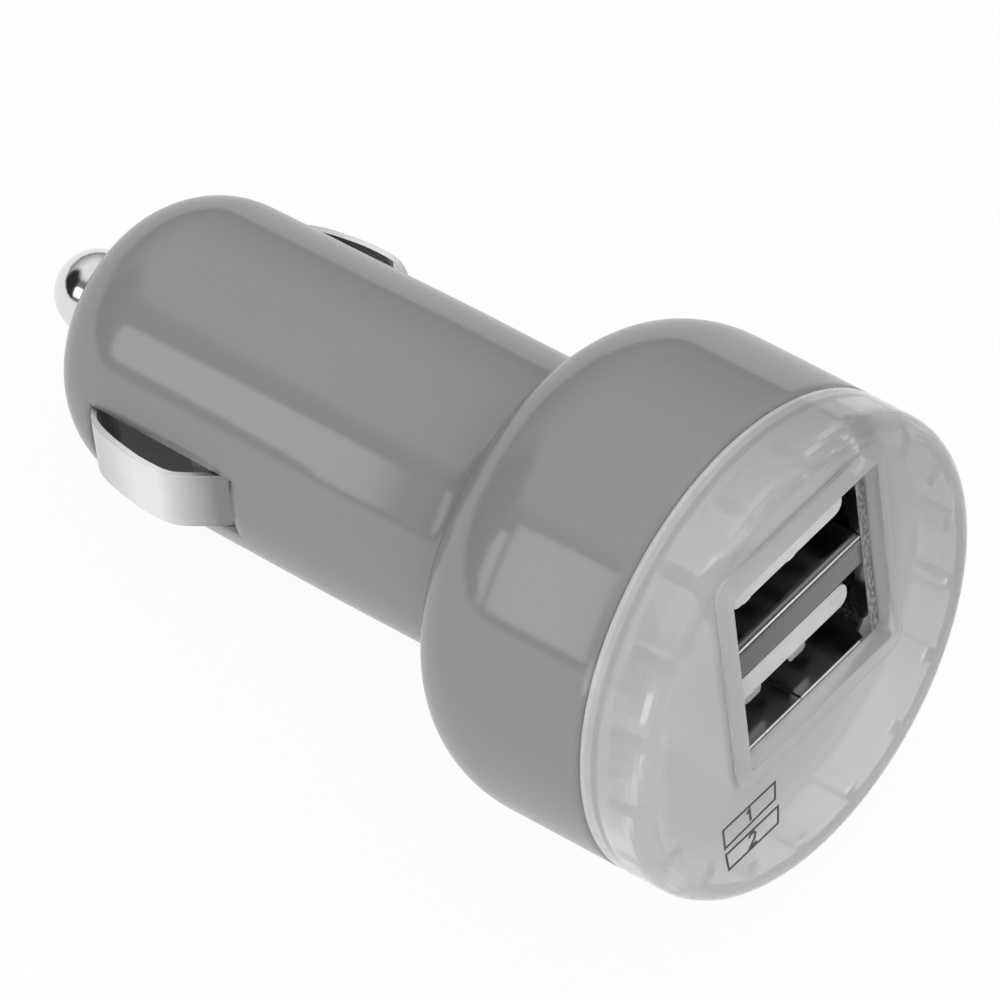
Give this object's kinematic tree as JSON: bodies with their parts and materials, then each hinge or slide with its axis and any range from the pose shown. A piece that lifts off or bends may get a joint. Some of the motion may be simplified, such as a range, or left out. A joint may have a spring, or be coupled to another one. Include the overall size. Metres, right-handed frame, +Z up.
{
  "type": "car usb charger plug",
  "caption": "Car charger plug: grey barrel with sprung centre pin and side contacts, wide head with frosted cap and stacked USB-A ports.",
  "frame": {"origin": "on the plug's axis, where the straight barrel begins in front of the shoulder", "axes": "+Y along the axis towards the nose and centre pin, -Y towards the port face, +Z up so the ports lie one above the other, +X to the right"},
  "size_m": [0.034, 0.0629, 0.034],
  "materials": {
    "grey_plastic": "glossy",
    "frosted_plastic": "translucent, frosted",
    "nickel": "polished",
    "spring_steel": "drawn wire",
    "brass": "plain",
    "board": "solder mask",
    "tinplate": "tin plated",
    "light_plastic": "moulded",
    "gold_plate": "plated",
    "capacitor_sleeve": "shrink sleeve",
    "ferrite": "sintered",
    "copper": "enamelled wire",
    "black_epoxy": "moulded",
    "clear_epoxy": "diffused",
    "ceramic": "fired"
  },
  "bodies": {
    "plug": {"housing": "grey_plastic", "front_cap": "frosted_plastic", "centre_spring": "spring_steel", "spring_terminal": "brass", "main_board": "board", "port_shell": "tinplate", "port_divider": "tinplate", "upper_port_insulator": "light_plastic", "lower_port_insulator": "light_plastic", "upper_contact_1": "gold_plate", "upper_contact_2": "gold_plate", "upper_contact_3": "gold_plate", "upper_contact_4": "gold_plate", "lower_contact_1": "gold_plate", "lower_contact_2": "gold_plate", "lower_contact_3": "gold_plate", "lower_contact_4": "gold_plate", "input_capacitor": "capacitor_sleeve", "output_capacitor": "capacitor_sleeve", "inductor_core": "ferrite", "inductor_coil": "copper", "regulator_ic": "black_epoxy", "rectifier_diode": "black_epoxy", "indicator_led": "clear_epoxy", "chip_resistors": "black_epoxy", "chip_capacitors": "ceramic"},
    "tip": {"centre_pin": "nickel"},
    "left_contact": {"side_contact_left": "nickel"},
    "right_contact": {"side_contact_right": "nickel"}
  },
  "joints": [
    {"name": "pin_press", "type": "slide", "parent": "plug", "child": "tip", "axis": [0, -1, 0], "range_m": [0, 0.0035], "stiffness_N_per_m": 1200, "springref_m": -0.002, "deforming": ["centre_spring"]},
    {"name": "left_contact_press", "type": "hinge", "parent": "plug", "child": "left_contact", "pos_m": [-0.0075, 0.0283, 0], "axis": [0, 0, 1], "range_deg": [0, 23], "stiffness_Nm_per_rad": 0.15, "springref_deg": -8.59},
    {"name": "right_contact_press", "type": "hinge", "parent": "plug", "child": "right_contact", "pos_m": [0.0075, 0.0283, 0], "axis": [0, 0, -1], "range_deg": [0, 23], "stiffness_Nm_per_rad": 0.15, "springref_deg": -8.59}
  ]
}
